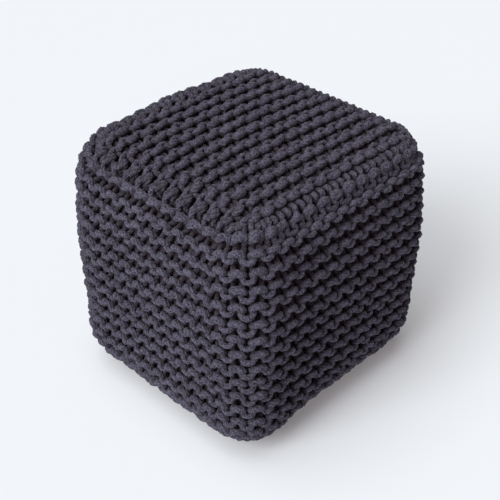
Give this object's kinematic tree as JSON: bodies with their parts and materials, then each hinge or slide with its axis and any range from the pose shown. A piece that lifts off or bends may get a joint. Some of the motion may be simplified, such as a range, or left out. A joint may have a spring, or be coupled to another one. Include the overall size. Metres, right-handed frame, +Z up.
{
  "type": "knitted pouf",
  "caption": "Cube-shaped pouf knitted in thick dark cotton cord: a filled body in a ridged garter-stitch band, closed by a sewn-on knitted top square and a flat base.",
  "frame": {"origin": "on the floor, under the middle of the pouf", "axes": "+Z up; the pouf's front looks along -Y and its right-hand side along +X; the top square's ridges run along Y"},
  "size_m": [0.3464, 0.3626, 0.3538],
  "materials": {
    "band_cotton": "matt, slightly fuzzy twisted cotton cord, dyed charcoal",
    "top_cotton": "matt, slightly fuzzy twisted cotton cord, dyed charcoal",
    "base_cotton": "matt woven cotton, dyed charcoal"
  },
  "bodies": {
    "root": {"side_band": "band_cotton", "top_square": "top_cotton", "base_square": "base_cotton"}
  },
  "joints": []
}
